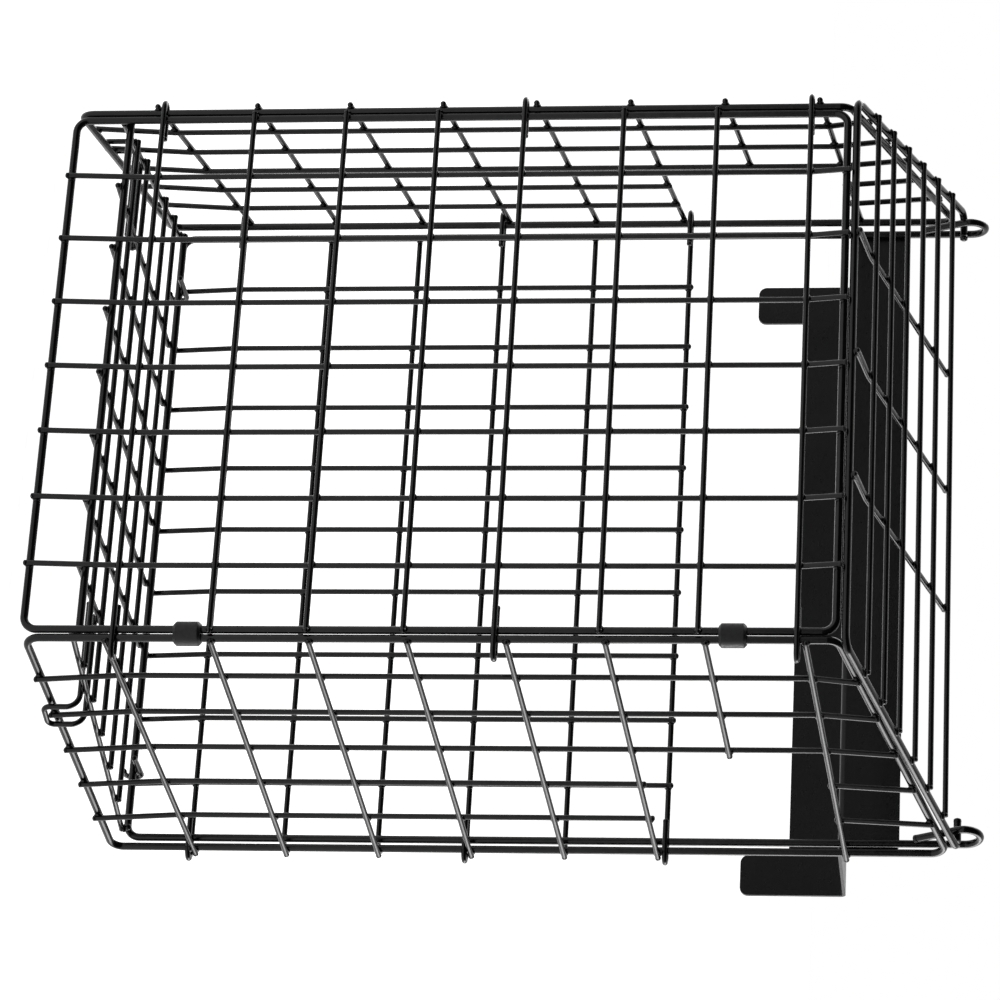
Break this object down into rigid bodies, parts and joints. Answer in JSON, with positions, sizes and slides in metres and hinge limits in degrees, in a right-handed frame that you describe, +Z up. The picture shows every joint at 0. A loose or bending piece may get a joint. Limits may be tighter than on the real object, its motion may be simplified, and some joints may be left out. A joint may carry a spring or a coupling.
{
  "type": "letterbox cage",
  "caption": "Hanging wire mail catcher for the inside of a door: hooked mesh panels, a hinged lid, sliding bar clips and a bracket that passes through the letter slot.",
  "frame": {"origin": "underside of the slot bracket's web, at its middle, where it rests on the letter slot's lower edge", "axes": "+X to the right seen from indoors, +Y outwards through the door, +Z up"},
  "size_m": [0.35, 0.2289, 0.4253],
  "materials": {
    "coated_wire": "gloss black coating",
    "clip_plastic": "matt black moulded plastic",
    "bracket_sheet": "satin black powder coat"
  },
  "bodies": {
    "cage": {"front_frame": "coated_wire", "front_uprights": "coated_wire", "front_cross_wires": "coated_wire", "front_hook_wires": "coated_wire", "left_frame": "coated_wire", "left_uprights": "coated_wire", "left_depth_wires": "coated_wire", "right_frame": "coated_wire", "right_uprights": "coated_wire", "right_depth_wires": "coated_wire", "back_frame": "coated_wire", "back_eyelets": "coated_wire", "back_uprights": "coated_wire", "back_cross_wires": "coated_wire", "back_hook_wires": "coated_wire", "floor_bars": "coated_wire", "floor_cross_wires": "coated_wire", "floor_depth_wires": "coated_wire", "floor_side_loops": "coated_wire", "floor_back_curls": "coated_wire", "slot_bracket": "bracket_sheet"},
    "lid": {"lid_frame": "coated_wire", "lid_cross_wires": "coated_wire", "lid_depth_wires": "coated_wire"},
    "lower_clip_body": {"lower_clip": "clip_plastic"},
    "upper_clip_body": {"upper_clip": "clip_plastic"}
  },
  "joints": [
    {"name": "lid_hinge", "type": "hinge", "parent": "cage", "child": "lid", "pos_m": [0, -0.0377, 0.0555], "axis": [-1, 0, 0], "range_deg": [0, 100]},
    {"name": "lower_clip_slide", "type": "slide", "parent": "cage", "child": "lower_clip_body", "axis": [0, 0, 1], "range_m": [-0.024, 0.002]},
    {"name": "upper_clip_slide", "type": "slide", "parent": "cage", "child": "upper_clip_body", "axis": [0, 0, 1], "range_m": [-0.002, 0.018]}
  ]
}
